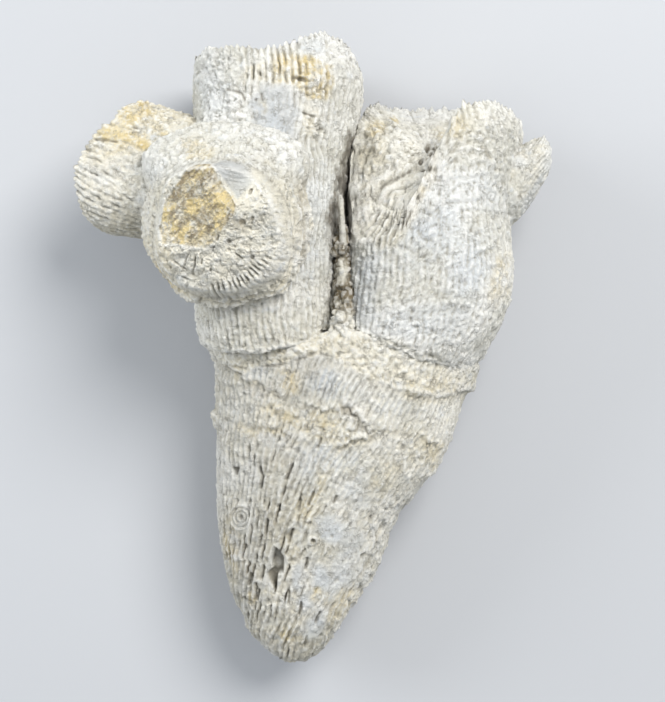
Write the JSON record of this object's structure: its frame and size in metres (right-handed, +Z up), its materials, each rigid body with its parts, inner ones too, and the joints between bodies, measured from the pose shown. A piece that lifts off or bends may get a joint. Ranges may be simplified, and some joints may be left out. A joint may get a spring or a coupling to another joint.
{
  "type": "fossil branching coral",
  "caption": "Fossil branching coral: a tapering ribbed trunk forks into broken ribbed branches with a side lobe, a front knob and a thin spur; it lies on its worn back.",
  "frame": {"origin": "on the surface it lies on, below the middle of the whole coral", "axes": "+Y from the trunk's tip to the branches, +X to the right of the front, +Z up out of the front"},
  "size_m": [0.114, 0.151, 0.0646],
  "materials": {
    "trunk_stone": "matte",
    "left_branch_stone": "matte",
    "right_branch_stone": "matte",
    "side_lobe_stone": "matte",
    "front_knob_stone": "matte",
    "right_spur_stone": "matte"
  },
  "bodies": {
    "root": {"trunk": "trunk_stone", "left_branch": "left_branch_stone", "right_branch": "right_branch_stone", "side_lobe": "side_lobe_stone", "front_knob": "front_knob_stone", "right_spur": "right_spur_stone"}
  },
  "joints": []
}
